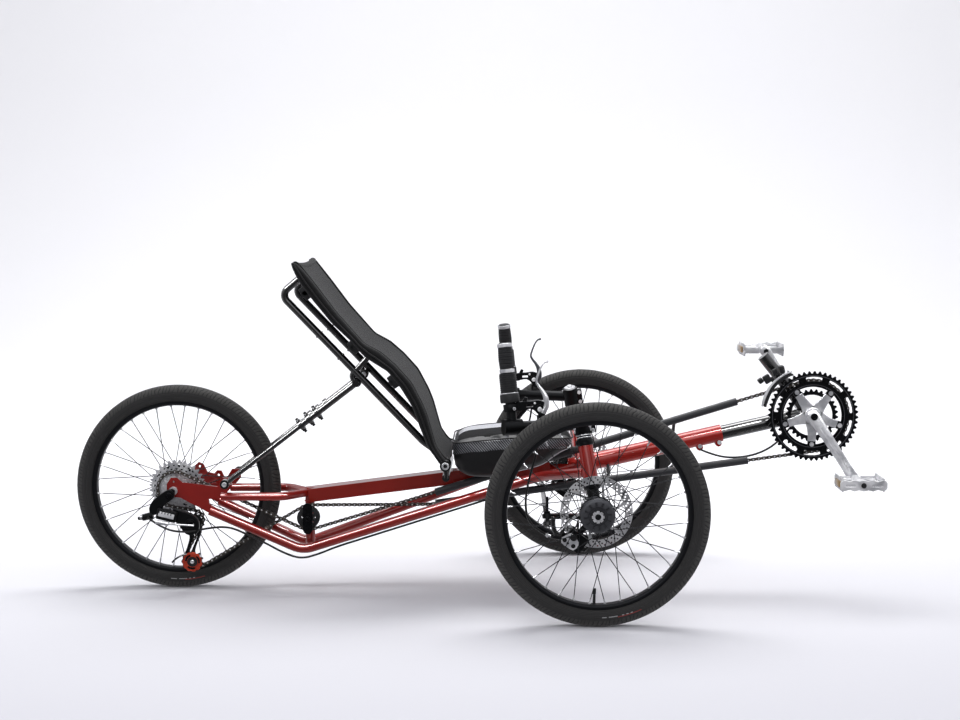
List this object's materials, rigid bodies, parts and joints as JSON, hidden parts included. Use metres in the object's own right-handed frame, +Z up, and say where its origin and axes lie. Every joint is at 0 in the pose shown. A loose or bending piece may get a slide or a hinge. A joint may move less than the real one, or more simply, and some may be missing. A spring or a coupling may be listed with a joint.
{
  "type": "recumbent trike",
  "caption": "Recumbent trike with steered front wheels on disc brakes, a chain-driven rear wheel, a reclined mesh seat, upright handlebars at its sides and pedals on a boom",
  "frame": {"origin": "on the floor, under the middle of the machine's length and width", "axes": "X forward, Y to the rider's left, Z up"},
  "size_m": [1.9168, 0.818, 0.795],
  "materials": {
    "frame_red": "candy red gloss lacquer",
    "gloss_black": "gloss black paint",
    "black_anodised": "black anodised satin",
    "dark_hub": "dark grey anodised",
    "silver": "polished aluminium",
    "steel": "brushed steel",
    "chain_steel": "oiled steel",
    "black_plastic": "matte black",
    "tube_plastic": "charcoal, half gloss",
    "tyre_rubber": "charcoal rubber",
    "grip_rubber": "ribbed black rubber",
    "seat_mesh": "black woven mesh",
    "cushion": "dark grey woven cover",
    "housing": "black cable housing"
  },
  "bodies": {
    "frame": {"front_tube": "frame_red", "upper_beam": "frame_red", "rear_upright": "frame_red", "cross_member": "frame_red", "rail_right": "frame_red", "rail_left": "frame_red", "upper_stays": "frame_red", "dropout_right": "frame_red", "dropout_left": "frame_red", "rear_axle": "steel", "boom": "gloss_black", "front_derailleur": "silver", "chain": "chain_steel", "chain_tubes": "tube_plastic", "idler": "black_plastic", "rear_derailleur": "black_anodised", "seat_base": "cushion", "seat_back": "seat_mesh", "seat_frame_right": "gloss_black", "seat_frame_left": "gloss_black", "strut_right": "gloss_black", "strut_left": "gloss_black", "seat_mounts": "gloss_black", "shift_cable_rear": "housing", "shift_cable_front": "housing"},
    "steering_right": {"knuckle_right": "gloss_black", "handlebar_right": "gloss_black", "grip_right": "grip_rubber", "brake_lever_right": "silver", "caliper_right": "black_anodised", "brake_cable_right": "housing"},
    "front_wheel_right": {"tyre_right": "tyre_rubber", "wheel_right": "dark_hub", "rotor_right": "steel"},
    "steering_left": {"knuckle_left": "gloss_black", "handlebar_left": "gloss_black", "grip_left": "grip_rubber", "brake_lever_left": "silver", "caliper_left": "black_anodised", "brake_cable_left": "housing"},
    "front_wheel_left": {"tyre_left": "tyre_rubber", "wheel_left": "dark_hub", "rotor_left": "steel"},
    "tie_rod": {"tie_rod": "steel"},
    "rear_wheel": {"tyre_rear": "tyre_rubber", "wheel_rear": "black_anodised", "cassette": "silver"},
    "crankset": {"crank": "silver", "chainrings": "silver"},
    "pedal_right": {"pedal_right": "silver"},
    "pedal_left": {"pedal_left": "silver"}
  },
  "joints": [
    {"name": "steer_right", "type": "hinge", "parent": "frame", "child": "steering_right", "pos_m": [0.282, -0.324, 0.2475], "axis": [-0.1525, 0.2223, 0.963], "range_deg": [-30, 30]},
    {"name": "steer_left", "type": "hinge", "parent": "frame", "child": "steering_left", "pos_m": [0.282, 0.324, 0.2475], "axis": [-0.1525, -0.2223, 0.963], "range_deg": [-30, 30]},
    {"name": "tie_rod_pivot", "type": "hinge", "parent": "steering_right", "child": "tie_rod", "pos_m": [0.175, -0.32712, 0.218], "axis": [-0.0784, 0.2229, 0.9717], "range_deg": [-31, 31]},
    {"name": "spin_right", "type": "hinge", "parent": "steering_right", "child": "front_wheel_right", "pos_m": [0.282, -0.38, 0.2475], "axis": [0, 1, 0], "continuous": true},
    {"name": "spin_left", "type": "hinge", "parent": "steering_left", "child": "front_wheel_left", "pos_m": [0.282, 0.38, 0.2475], "axis": [0, 1, 0], "continuous": true},
    {"name": "spin_rear", "type": "hinge", "parent": "frame", "child": "rear_wheel", "pos_m": [-0.711, 0, 0.2475], "axis": [0, 1, 0], "continuous": true},
    {"name": "crank_spin", "type": "hinge", "parent": "frame", "child": "crankset", "pos_m": [0.812, 0, 0.42402], "axis": [0, 1, 0], "continuous": true},
    {"name": "pedal_spin_right", "type": "hinge", "parent": "crankset", "child": "pedal_right", "pos_m": [0.90334, -0.152, 0.28065], "axis": [0, 1, 0], "continuous": true},
    {"name": "pedal_spin_left", "type": "hinge", "parent": "crankset", "child": "pedal_left", "pos_m": [0.72066, 0.152, 0.5674], "axis": [0, 1, 0], "continuous": true}
  ],
  "couplings": [
    {"joint": "steer_left", "follows": "steer_right", "ratio": 1},
    {"joint": "tie_rod_pivot", "follows": "steer_right", "ratio": -1}
  ]
}
